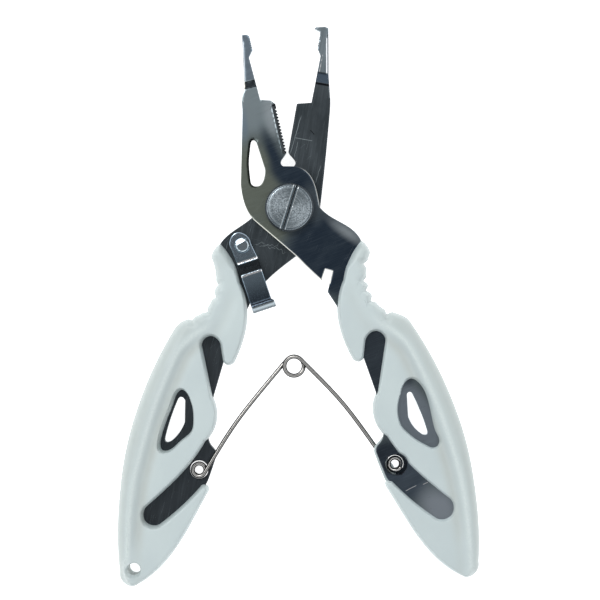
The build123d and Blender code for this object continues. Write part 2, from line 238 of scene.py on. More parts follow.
def sheet_mesh(name, loops, widths, steps, spacing, top, bottom, extra=None):
    """A solid between two height functions over a region with holes.

    widths holds each loop point's edge width, steps the shares of it where rows of points
    follow the edge. top and bottom take points, edge distance and edge width.
    """
    starts, ends = sides_of(loops)
    width_at = np.concatenate(widths)
    width_next = np.concatenate([np.roll(w, -1) for w in widths])
    tangents = np.vstack([np.roll(loop, -1, axis=0) - np.roll(loop, 1, axis=0) for loop in loops])
    inward = inward_of(tangents)
    candidates = []
    for step in steps:
        row = starts + inward * (width_at * step)[:, None]
        gap, _, _ = nearest(row, starts, ends)
        keep = (gap > 0.97 * width_at * step) & is_inside(row, starts, ends)
        candidates.append(row[keep])
    low, high = starts.min(axis=0), starts.max(axis=0)
    rows = np.arange(low[1], high[1], spacing * 0.87)
    grid = []
    for index, y in enumerate(rows):
        xs = np.arange(low[0] + (index % 2) * spacing / 2, high[0], spacing)
        grid.append(np.column_stack([xs, np.full(len(xs), y)]))
    grid = np.vstack(grid)
    if extra is not None:
        grid = np.vstack([grid, extra])
    gap, number, place = nearest(grid, starts, ends)
    reach = width_at[number] * (1 - place) + width_next[number] * place
    keep = (gap > reach * steps[-1] + 0.4 * spacing) & is_inside(grid, starts, ends)
    candidates.append(grid[keep])
    points = np.vstack([starts] + candidates)
    edges = []
    offset = 0
    for loop in loops:
        count = len(loop)
        edges += [(offset + i, offset + (i + 1) % count) for i in range(count)]
        offset += count
    out = delaunay_2d_cdt([Vector(p) for p in points.tolist()], edges, [], 0, 1e-6, False)
    plan = np.array([tuple(p) for p in out[0]])
    faces = np.array(out[2])
    middle = plan[faces].mean(axis=1)
    faces = faces[is_inside(middle, starts, ends)]
    gap, number, place = nearest(plan, starts, ends)
    gap[gap < 1e-4] = 0
    reach = width_at[number] * (1 - place) + width_next[number] * place
    z_top = top(plan, gap, reach)
    z_bottom = bottom(plan, gap, reach)
    count = len(plan)
    upper = np.column_stack([plan, z_top])
    lower = np.column_stack([plan, z_bottom])
    directed = {(a, b) for f in faces.tolist() for a, b in zip(f, f[1:] + f[:1])}
    rim = [(a, b) for a, b in sorted(directed) if (b, a) not in directed]
    walls = [(b, a, a + count, b + count) for a, b in rim]
    quads = faces.tolist() + [[c + count for c in f[::-1]] for f in faces.tolist()] + walls
    mesh = bpy.data.meshes.new(name)
    mesh.from_pydata((np.vstack([upper, lower]) * MM).tolist(), [], quads)
    return finish_mesh(name, mesh)


def finish_mesh(name, mesh, sharp_deg=32):
    """Weld, turn the faces outwards, shade smooth with sharp edges kept, and make the object."""
    model = bmesh.new()
    model.from_mesh(mesh)
    bmesh.ops.remove_doubles(model, verts=model.verts, dist=2e-7)
    loose = [v for v in model.verts if not v.link_faces]
    bmesh.ops.delete(model, geom=loose, context="VERTS")
    bmesh.ops.recalc_face_normals(model, faces=model.faces)
    for face in model.faces:
        face.smooth = True
    for edge in model.edges:
        edge.smooth = edge.calc_face_angle(0) < radians(sharp_deg)
    model.to_mesh(mesh)
    model.free()
    piece = bpy.data.objects.new(name, mesh)
    bpy.context.scene.collection.objects.link(piece)
    return piece


def store(mesh, name, rows):
    """Keep three numbers for each vertex, for the materials to read."""
    attribute = mesh.attributes.new(name, "FLOAT_VECTOR", "POINT")
    attribute.data.foreach_set("vector", rows.astype(np.float32).ravel())


def tree_of(node):
    """A CAD node's surface, for reading heights off it."""
    mesh = frame["nodes"][node].data
    return BVHTree.FromPolygons([v.co for v in mesh.vertices], [p.vertices for p in mesh.polygons])


def read_heights(tree, points, from_above, fallback):
    """Height of a surface over each point, in millimetres."""
    heights = np.full(len(points), float(fallback))
    start_z = 1.0 if from_above else -1.0
    down = Vector((0, 0, -1 if from_above else 1))
    for index, (x, y) in enumerate(points):
        hit = tree.ray_cast(Vector((x * MM, y * MM, start_z)), down)[0]
        if hit is not None:
            heights[index] = hit.z / MM
    return heights


# ---- grips

MID_Z = 4.4
GRIP_TOP = 8.8
STEEL_MID = {"left": 3.3, "right": 5.5}

# heights of the flat panel and of the crease's floor: by the finger rest, and below it
PANEL_Z = (8.5, 7.75)
CREASE_Z = (8.15, 7.4)

# the crease between the raised outer rib and the flat panel, closed frame
CREASE = np.array([(9.3, -17.0), (9.3, -21.5), (10.1, -27.0), (11.9, -30.6), (14.5, -33.2), (16.8, -36.6),
                   (18.1, -41.5), (19.4, -47.5), (20.3, -53.5), (20.9, -59.5), (21.3, -66.0),
                   (21.0, -73.0), (20.4, -79.0), (19.3, -86.0), (18.2, -91.5)])

# the left window where its wall meets the steel, closed frame
LEFT_SEAT = np.array([(16.8, -44.3), (17.6, -45.6), (18.0, -48.1), (18.8, -51.9), (19.2, -54.8),
                      (19.2, -57.2), (18.4, -58.3), (16.8, -57.6), (15.0, -55.3), (13.3, -53.3),
                      (12.95, -51.6), (13.6, -48.2), (14.8, -45.7), (15.8, -44.5)])

# sharp nicks between the finger ridges, closed-frame heights and depth
NICKS_Y = {"left": (-19.7, -22.5, -25.6, -28.0), "right": (-16.2, -19.7, -21.8, -24.2, -27.4)}
NICK_HALF = 0.8
NICK_DEPTH = {"left": 0.55, "right": 0.8}

# how far the moulding falls away round the lanyard hole, and how deep
LANYARD_SINK_R = 0.55
LANYARD_SINK = 0.8


def crease_line():
    """The crease as a smooth line from the finger rest to the tail."""
    return np.vstack([smooth_run(CREASE, 0.5), CREASE[-1:]])


def grip_levels(points, line):
    """Height of the moulding's face, the share of painted shade in the crease, and the signed distance
    across the crease.
    """
    across = side_of_line(points, line)
    y = points[:, 1]
    lower = ease((-28 - y) / 9)
    crest = GRIP_TOP - 0.12 * (1 - lower)
    panel = PANEL_Z[0] * (1 - lower) + PANEL_Z[1] * lower
    floor = CREASE_Z[0] * (1 - lower) + CREASE_Z[1] * lower
    fade = ease((-19 - y) / 5)
    floor = crest - 0.15 - (crest - 0.15 - floor) * fade
    tail = ease((-76 - y) / 8)
    floor = floor + (GRIP_TOP - 0.7 - floor) * tail
    panel = panel + (GRIP_TOP - 0.6 - panel) * tail
    rib = floor + (crest - floor) * ease(across / 2.6)
    flat = floor + (panel - floor) * ease(-across / 2.4)
    height = np.where(across > 0, rib, flat)
    crease_shade = np.exp(-((across + 0.2) / 1.1) ** 2) * (0.25 + 0.75 * lower) * fade * (1 - 0.7 * tail)
    return height, crease_shade, across


def nick(loop, half):
    """Press the finger nicks into the outer edge of a loop that runs anticlockwise."""
    inward = inward_of(np.roll(loop, -1, axis=0) - np.roll(loop, 1, axis=0))
    outer = np.nonzero((loop[:, 0] > 12) & (loop[:, 1] < -14) & (loop[:, 1] > -28.6))[0]
    moved = loop.copy()
    for y in NICKS_Y[half]:
        centre = loop[outer[np.argmin(np.abs(loop[outer, 1] - y))]]
        share = np.clip(1 - lengths(loop - centre) / NICK_HALF, 0, 1)
        moved += inward * (NICK_DEPTH[half] * share)[:, None]
    return moved


def make_grip(half, body):
    """One moulded grip: rounded edge, raised rib, crease, panel and a window down to the steel."""
    loops = plan_loops(f"{half}_grip", only_top=True)
    outer = smooth_loop(to_closed(loops[0], half), 0.3)
    if HAND[half] < 0:
        outer = outer[::-1]
    outer = nick(outer, half)
    if half == "left":
        window = smooth_run(np.vstack([LEFT_SEAT, LEFT_SEAT[:1]]), 0.3, closed=True)
    else:
        window = smooth_loop(to_closed(loops[1], half), 0.3)
    if signed_area(window) > 0:
        window = window[::-1]
    window = soften(window, 3)
    closed = [outer, window]
    line = crease_line()
    across = side_of_line(outer, line)
    finger = ease((outer[:, 1] + 31) / 4)
    outer_width = 0.75 + 2.1 * ease((across - 0.5) / 3) * (1 - 0.55 * finger)
    widths = [outer_width, np.full(len(window), 1.0)]
    if half == "left":
        rough = to_closed(loops[2], half)
        hole_at = rough.mean(axis=0)
        hole_r = lengths(rough - hole_at).mean()
        closed.append(hole_at + hole_r * circle(48, 2 * pi, 0))
        widths.append(np.full(48, 0.8))

    def face(points, gap, width, sign):
        """Height of the front face, or of the back one when sign is -1."""
        height, _, across_here = grip_levels(points, line)
        share = np.clip(gap / np.maximum(width, 1e-6), 0, 1)
        round_off = np.sqrt(1 - (1 - share) ** 2)
        window_gap, _, _ = nearest(points, *sides_of([window]))
        at_window = window_gap < gap + 1e-6
        wall = 0.35 + 0.55 * ease((across_here + 3.2) / 2)
        up = ease(window_gap / wall) ** 0.6
        steel = STEEL_MID[half] if sign > 0 else 2 * MID_Z - STEEL_MID[half]
        rim = steel + (height - steel) * up
        plain = MID_Z + (height - MID_Z) * round_off
        result = np.where(at_window, rim, plain)
        if half == "left":
            hole_gap, _, _ = nearest(points, *sides_of(closed[2:]))
            away = points - hole_at
            outward = (0.35 * away[:, 0] - 0.94 * away[:, 1]) / np.maximum(lengths(away), 1e-9)
            reach = 0.15 + LANYARD_SINK_R * np.clip(0.2 + outward, 0, 1)
            sunk = height - LANYARD_SINK * (1 - ease(hole_gap / reach))
            sunk = np.where(hole_gap < 1e-4, MID_Z, sunk)
            near_hole = np.where(hole_gap < gap + 1e-6, sunk, np.minimum(sunk, result))
            result = np.where(hole_gap < 1.2, near_hole, result)
        return result if sign > 0 else 2 * MID_Z - result

    def top(points, gap, width):
        return face(to_closed(points, half), gap, width, 1)

    def bottom(points, gap, width):
        return face(to_closed(points, half), gap, width, -1)

    rest = [to_rest(loop, half) for loop in closed]
    if HAND[half] < 0:
        rest = [loop[::-1] for loop in rest]
        widths = [w[::-1] for w in widths]
    steps = (0.015, 0.06, 0.14, 0.26, 0.42, 0.62, 0.82, 1.0)
    piece = sheet_mesh(f"{half}_moulding", rest, widths, steps, 0.5, top, bottom)
    plan = np.array([v.co[:2] for v in piece.data.vertices]) / MM
    _, crease_shade, across = grip_levels(to_closed(plan, half), line)
    # masks for painted shade in the crease and down the rib's outer side, and a painted highlight along the
    # rib's crest
    lower = ease((-26 - to_closed(plan, half)[:, 1]) / 6)
    rib = ease((across - 2.0) / 2.0) * (0.4 + 0.6 * lower)
    crest = np.exp(-((across - 2.2) / 0.6) ** 2) * lower
    store(piece.data, "relief_shading", np.column_stack([crease_shade, rib, crest]))
    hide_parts(f"{half}_grip")
    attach(piece, body)
    return piece


# ---- blades

WIRE_R = 0.475
COIL_R = 2.15
COIL_LOW = 3.35
COIL_PITCH = 1.55
COIL_START_DEG = 140
COIL_SWEEP_DEG = -455
EYE_R = 1.4
EYE_PLAY = 0.07
EYE_TURN_DEG = 480
LEFT_EYE_START_Z = 5.4
LEFT_EYE_PITCH = -1.1
RIGHT_EYE_START_Z = 2.35
RIGHT_EYE_PITCH = 2.3


def spring_eye():
    """Centre of the eye that sits in the right tang's hole."""
    low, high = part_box("spring_right")
    return np.array([high.x / MM - EYE_R - WIRE_R, low.y / MM + EYE_R + WIRE_R])


# widths of the broken edges: plain, along the teeth, down the two sides of the jaw slot, round
# the holes, and what is added where an edge is polished and at the tip of each nose
EDGE_BREAK = 0.14
TOOTH_BREAK = 0.04
SLOT_BREAK = {"outer": 0.55, "inner": 0.18}
HOLE_BREAK = 0.06
SHINE_BREAK = 0.12
NOSE_BEVEL = {"front_blade": 0.06, "rear_blade": 0.34}

# thickness of the ledge left under the spring's eye
LEDGE_THICK = 0.2


def shine(node, closed):
    """Where a blade's broken edge is wide and polished, and where the materials paint highlights along it:
    0 to 1, points in the closed frame.
    """
    x, y = closed[:, 0], closed[:, 1]
    nose = ease((y - 25.2) / 1.0) * (x < -1.3 - 0.05 * (y - 30))
    if node == "rear_blade":
        return nose
    lower_edge = ease((2 - y) / 4) * (y > -18.5) * (x < -4.9 - 0.6 * (y + 0.9))
    boss_edge = ease((y + 3) / 3) * ease((9 - y) / 2) * (x > 3.2)
    notch = 0.8 * (x > 2.5) * (x < 8) * (y > -18.2) * (y < -12.5)
    return np.clip(nose + lower_edge + 0.6 * boss_edge + notch, 0, 1)


def make_blade(node, half, body):
    """A stamped blade with its edges broken, heights read from the CAD solid."""
    tree = tree_of(node)
    top_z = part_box(node)[1].z / MM
    low_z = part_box(node)[0].z / MM
    loops = [smooth_loop(loop, 0.3, 20) for loop in plan_loops(node)]
    hole_at, hole_r, around = np.array([0.0, 0.0]), 0.0, None
    jaw_slot = node == "front_blade"
    if jaw_slot:
        eye = spring_eye()
        number = min(range(1, len(loops)), key=lambda i: np.linalg.norm(loops[i].mean(axis=0) - eye))
        hole_at = loops[number].mean(axis=0)
        hole_r = lengths(loops[number] - hole_at).mean()
        turn = circle(60, 2 * pi, 0)
        loops[number] = eye + (EYE_R + WIRE_R + EYE_PLAY) * turn
        around = np.vstack([hole_at + (hole_r - 0.03) * turn, hole_at + (hole_r + 0.03) * turn])
    widths = []
    for index, loop in enumerate(loops):
        closed = to_closed(loop, half)
        nose = ease((closed[:, 1] - 29.5) / 1.5)
        width = EDGE_BREAK + (SHINE_BREAK + NOSE_BEVEL[node] * nose) * shine(node, closed)
        toothed = (closed[:, 0] > 1.0) & (closed[:, 1] > 12) & (closed[:, 1] < 23.6)
        width[toothed] = TOOTH_BREAK
        if jaw_slot and index == 1:
            width = np.where(loop[:, 0] < loop[:, 0].mean(), SLOT_BREAK["outer"], SLOT_BREAK["inner"])
        elif jaw_slot and index > 1:
            width = np.full(len(loop), HOLE_BREAK)
        widths.append(width)
    starts, ends = sides_of(loops)
    slot_ids = (len(loops[0]), len(loops[0]) + len(loops[1])) if jaw_slot else (-1, -1)

    def edge_frame(points):
        """The way into the material at each point's nearest edge, and whether that is the jaw slot's."""
        _, number, _ = nearest(points, starts, ends)
        at_slot = (number >= slot_ids[0]) & (number < slot_ids[1])
        return inward_of(ends[number] - starts[number]), at_slot

    def face(points, gap, inward, from_above, fallback, drop, ledge_z):
        """Heights of one side, read a little inside the edge, lowered by drop and flat at the ledge."""
        nudged = points + inward * np.clip(0.05 - gap, 0, 0.05)[:, None]
        level = read_heights(tree, nudged, from_above, fallback) - drop
        return np.where(lengths(points - hole_at) < hole_r, ledge_z, level)

    def top(points, gap, width):
        inward, at_slot = edge_frame(points)
        slope = 0.85 - 0.43 * shine(node, to_closed(points, half))
        slope = np.where(at_slot, np.where(inward[:, 0] > 0.1, 0.7, 1.1), slope)
        drop = slope * width * np.clip(1 - gap / width, 0, 1)
        return face(points, gap, inward, True, top_z, drop, low_z + LEDGE_THICK)

    def bottom(points, gap, width):
        inward, _ = edge_frame(points)
        drop = -0.5 * width * np.clip(1 - gap / width, 0, 1)
        return face(points, gap, inward, False, low_z, drop, low_z)

    piece = sheet_mesh(f"{node}_stamping", loops, widths, (0.3, 0.62, 1.0), 0.4, top, bottom, around)
    plan = np.array([v.co[:2] for v in piece.data.vertices]) / MM
    inward, at_slot = edge_frame(plan)
    gap, _, _ = nearest(plan, starts, ends)
    # painted shadow along one wall of the jaw slot and on the ledge under the spring's eye
    shadow = np.where(at_slot & (inward[:, 0] < 0.1), np.clip((0.42 - gap) / 0.12, 0, 1), 0.0)
    shadow = np.where(lengths(plan - hole_at) < hole_r, 0.6, shadow)
    store(piece.data, "edge", np.column_stack([gap, shine(node, to_closed(plan, half)), shadow]))
    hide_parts(node)
    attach(piece, body)
    return piece


RIM_MID_Z = 4.0
RIM_RISE = 0.43


def make_rim(half, body):
    """Low rim of the right moulding that closes in the edge of its tang by the spring."""
    outline = np.array([(9.6, -54.0), (7.9, -55.3), (6.5, -56.4), (6.15, -57.7), (6.95, -63.2),
                        (7.5, -64.9), (9.4, -65.6), (9.8, -62.0), (8.6, -58.5), (9.9, -55.6)])
    loop = soften(smooth_run(np.vstack([outline, outline[:1]]), 0.25, closed=True), 2)
    loop = loop if signed_area(loop) > 0 else loop[::-1]

    def top(points, gap, width):
        return RIM_MID_Z + RIM_RISE * np.sqrt(1 - (1 - np.clip(gap / width, 0, 1)) ** 2)

    def bottom(points, gap, width):
        return 2 * RIM_MID_Z - top(points, gap, width)

    piece = sheet_mesh("right_rim", [to_rest(loop, half)], [np.full(len(loop), 0.3)],
                       (0.1, 0.3, 0.6, 1.0), 0.4, top, bottom)
    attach(piece, body)
    return piece


# ---- latch, rivet and spring

LATCH_LEAN_DEG = 18.5
LATCH_TAB_TOP = 5.25
LATCH_STRAP_TOP = 7.55
LATCH_THICK = 0.8
LATCH_LIP_LOW = 4.6
LATCH_LIP_FROM = 14.45

# distances from the rivet at which rows of points cross the strap, close together at its bends
LATCH_ROWS = (2.9, 3.2, 3.5, 3.75, 4.0, 6.1, 6.35, 6.65, 6.95, 13.07, 13.35, 13.63, 13.95, 14.3, 14.6)


def joint_point(name):
    """A joint's place in plan, in millimetres."""
    joint = next(j for j in frame["joints"] if j["name"] == name)
    return np.array(joint["pos_m"][:2]) / MM


def make_latch():
    """Bent strap: flat tab, slope, flat strap and a lip rolled down at the free end."""
    rivet = joint_point("latch_swing")
    lean = radians(LATCH_LEAN_DEG)
    along = np.array([sin(lean), -cos(lean)])
    loops = [smooth_loop(loop, 0.22) for loop in plan_loops("lock_latch")]

    def level(s):
        """Height of the strap's upper face at a distance from the rivet."""
        rise = ease((s - 3.2) / 3.7)
        straight = np.clip((s - 3.75) / 2.6, 0, 1)
        bend = LATCH_TAB_TOP + (LATCH_STRAP_TOP - LATCH_TAB_TOP) * (0.35 * rise + 0.65 * straight)
        groove = 0.16 * np.exp(-((s - 13.35) / 0.28) ** 2)
        roll = 0.7 * np.clip((s - 13.7) / 1.6, 0, 1) ** 2
        return bend - groove - roll

    def top(points, gap, width):
        s = (points - rivet) @ along
        return level(s) - 0.6 * width * np.clip(1 - gap / width, 0, 1)

    def bottom(points, gap, width):
        s = (points - rivet) @ along
        under = level(s) - LATCH_THICK
        under = np.where(s > LATCH_LIP_FROM, LATCH_LIP_LOW, under)
        return under + 0.4 * width * np.clip(1 - gap / width, 0, 1)

    rows = np.outer(np.arange(-3.4, 3.4, 0.2), (along[1], -along[0]))
    bends = [rivet + along * s + rows for s in LATCH_ROWS]
    piece = sheet_mesh("latch_strap", loops, [np.full(len(loop), 0.11) for loop in loops],
                       (1.0,), 0.26, top, bottom, np.vstack(bends))
    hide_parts("lock_latch")
    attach(piece, "latch")
    return piece


def lathe(name, centre, profile):
    """A turned piece about an upright axis; the profile runs from its top centre to its foot."""
    segments = 72
    model = bmesh.new()
    rings = []
    for radius, z in profile:
        if radius == 0:
            rings.append([model.verts.new((centre[0] * MM, centre[1] * MM, z * MM))])
            continue
        ring = []
        for index in range(segments):
            angle = 2 * pi * index / segments
            ring.append(model.verts.new(((centre[0] + radius * cos(angle)) * MM,
                                         (centre[1] + radius * sin(angle)) * MM, z * MM)))
        rings.append(ring)
    for upper, lower in zip(rings, rings[1:]):
        for index in range(segments):
            after = (index + 1) % segments
            corners = [upper[index % len(upper)], lower[index % len(lower)],
                       lower[after % len(lower)], upper[after % len(upper)]]
            model.faces.new(list(dict.fromkeys(corners)))
    mesh = bpy.data.meshes.new(name)
    model.to_mesh(mesh)
    model.free()
    return mesh


SCREW_HEAD_R = 5.4
SCREW_FACE_R = 4.8
SCREW_RIM_R = 4.88
SCREW_RIM_DROP = 0.5
SHOULDER_R = 2.45
SHOULDER_Z = 2.25
THREAD_R = 1.7
SLOT_LEAN_DEG = 72.6
SLOT_HALF = 0.58
SLOT_FLAT = 0.1
SLOT_DEEP = 0.7


def make_screw():
    """Pivot screw: a slotted, faced head with a broken rim, and its shoulder below."""
    low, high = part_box("pivot_screw")
    crown, foot = high.z / MM, low.z / MM
    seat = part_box("front_blade")[1].z / MM + 0.05
    across = np.array([-sin(radians(SLOT_LEAN_DEG)), cos(radians(SLOT_LEAN_DEG))])
    loop = SCREW_HEAD_R * circle(150, 0, 2 * pi)

    def top(points, gap, width):
        radius = lengths(points)
        rim = SCREW_RIM_DROP * np.clip((radius - SCREW_RIM_R) / (SCREW_HEAD_R - SCREW_RIM_R), 0, 1)
        score = 0.07 * np.exp(-((radius - SCREW_FACE_R) / 0.07) ** 2)
        dish = 0.06 * np.clip(1 - radius / SCREW_FACE_R, 0, 1)
        cut = np.clip((np.abs(points @ across) - SLOT_FLAT) / (SLOT_HALF - SLOT_FLAT), 0, 1)
        slot = np.where(cut < 1, crown - SLOT_DEEP * (1 - cut), crown)
        return np.minimum(crown - rim - score - dish, slot)

    def bottom(points, gap, width):
        radius = lengths(points)
        return np.where(radius < THREAD_R, foot, np.where(radius < SHOULDER_R, SHOULDER_Z, seat))

    rows = np.arange(-5.2, 5.2, 0.16)
    lines = [np.outer(np.full(len(rows), offset), across) + np.outer(rows, (across[1], -across[0]))
             for offset in (-SLOT_HALF, -SLOT_FLAT, SLOT_FLAT, SLOT_HALF)]
    piece = sheet_mesh("pivot_screw_head", [loop], [np.full(len(loop), 0.62)],
                       (0.3, 0.55, 0.84, 0.9, 0.96, 1.0), 0.2, top, bottom, np.vstack(lines))
    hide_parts("pivot_screw")
    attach(piece, "left_half")
    return piece


def make_rivet():
    """Rivet with a peened head: a flat button with a facet struck in its side."""
    centre = joint_point("latch_swing")
    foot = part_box("latch_rivet")[0].z / MM
    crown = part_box("latch_rivet")[1].z / MM
    button = [(radius, crown - 0.1) for radius in np.linspace(0, 1.2, 9)]
    shoulder = [(1.42, crown - 0.19), (1.6, crown - 0.4), (1.72, crown - 0.72), (1.72, crown - 1.0)]
    shank = [(1.15, crown - 1.0), (1.15, foot + 0.9)]
    tail = [(1.9, foot + 0.9), (1.9, foot + 0.4), (1.5, foot), (0, foot)]
    profile = button + shoulder + shank + tail
    mesh = lathe("rivet", centre, profile)
    for vertex in mesh.vertices:
        x = vertex.co.x / MM - centre[0]
        y = vertex.co.y / MM - centre[1]
        z = vertex.co.z / MM
        if z > crown - 0.999:
            struck = crown - 0.1 - 0.4 * max(0.0, 0.5 * -x + 0.86 * y - 0.6)
            vertex.co.z = max(min(z, struck), crown - 1.0) * MM
    piece = finish_mesh("rivet", mesh, sharp_deg=20)
    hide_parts("latch_rivet")
    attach(piece, "left_half")
    return piece


def helix(centre, radius, start_deg, sweep_deg, z_start, pitch):
    """Points round a helical turn; the pitch is the rise in a full turn, either way round."""
    z_end = z_start + pitch * abs(sweep_deg) / 360
    count = int(abs(sweep_deg) / 9)
    share = np.linspace(0, 1, count + 1)
    angle = np.radians(start_deg + sweep_deg * share)
    return np.column_stack([centre[0] + radius * np.cos(angle), centre[1] + radius * np.sin(angle),
                            z_start + (z_end - z_start) * share])


def leg(coil_end, coil_leg_deg, eye_end, eye_leg_deg):
    """Points along a bowed leg, tangent to the coil at one end and to the eye at the other."""
    slope_a, slope_b = tan(radians(coil_leg_deg)), tan(radians(eye_leg_deg))
    x = (eye_end[1] - coil_end[1] + slope_a * coil_end[0] - slope_b * eye_end[0]) / (slope_a - slope_b)
    corner = np.array([x, coil_end[1] + slope_a * (x - coil_end[0]), (coil_end[2] + eye_end[2]) / 2])
    t = np.linspace(0, 1, 60)[:, None]
    return (1 - t) ** 3 * coil_end + 3 * t * (1 - t) * corner + t ** 3 * eye_end


def make_spring():
    """One length of wire: left eye, left leg, coil, right leg, right eye."""
    coil = joint_point("spring_coil")
    left_eye = joint_point("spring_left_eye")
    right_eye = spring_eye()
    left_turn = helix(left_eye, EYE_R, -31, -EYE_TURN_DEG, LEFT_EYE_START_Z, LEFT_EYE_PITCH)
    right_turn = helix(right_eye, EYE_R, -145, EYE_TURN_DEG, RIGHT_EYE_START_Z, RIGHT_EYE_PITCH)
    winding = helix(coil, COIL_R, COIL_START_DEG, COIL_SWEEP_DEG, COIL_LOW, COIL_PITCH)
    left_leg = leg(winding[0], -130, left_turn[0], -121)
    right_leg = leg(winding[-1], -45, right_turn[0], -55)
    path = np.vstack([left_turn[::-1], left_leg[::-1][1:-1], winding, right_leg[1:-1], right_turn])
    mesh = tube("spring", path, WIRE_R, 14)
    piece = finish_mesh("spring_wire", mesh, sharp_deg=50)
    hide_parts("spring_left", "spring_right")
    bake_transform(piece)
    return piece


def tube(name, path, radius, sides):
    """Round wire along a path, with its two cut ends broken."""
    tangents = np.gradient(path, axis=0)
    tangents /= lengths(tangents)[:, None]
    normal = np.cross(tangents[0], (0, 0, 1))
    rings = []
    grown = [0.7, 1.0] + [1.0] * (len(path) - 4) + [1.0, 0.7]
    for index, (point, tangent) in enumerate(zip(path, tangents)):
        normal = normal - tangent * np.dot(normal, tangent)
        normal /= np.linalg.norm(normal)
        other = np.cross(tangent, normal)
        angles = 2 * pi * np.arange(sides) / sides
        rings.append(point + radius * grown[index] * (np.cos(angles)[:, None] * normal
                                                      + np.sin(angles)[:, None] * other))
    faces = []
    for row in range(len(path) - 1):
        for side in range(sides):
            after = (side + 1) % sides
            faces.append((row * sides + side, row * sides + after,
                          (row + 1) * sides + after, (row + 1) * sides + side))
    last = (len(path) - 1) * sides
    faces.append(tuple(range(sides))[::-1])
    faces.append(tuple(range(last, last + sides)))
    mesh = bpy.data.meshes.new(name)
    mesh.from_pydata((np.vstack(rings) * MM).tolist(), [], faces)
    angles = np.tile(2 * pi * np.arange(sides) / sides, len(path))
    travel = np.concatenate([[0], np.cumsum(lengths(np.diff(path, axis=0)))])
    store(mesh, "drawn", np.column_stack([np.cos(angles), np.sin(angles), np.repeat(travel, sides) * 0.05]))
    return mesh


# ---- materials

# Steel mirrors a dim zenith, so its reflectance is this many times its display colour.
METAL_GAIN = 2.7


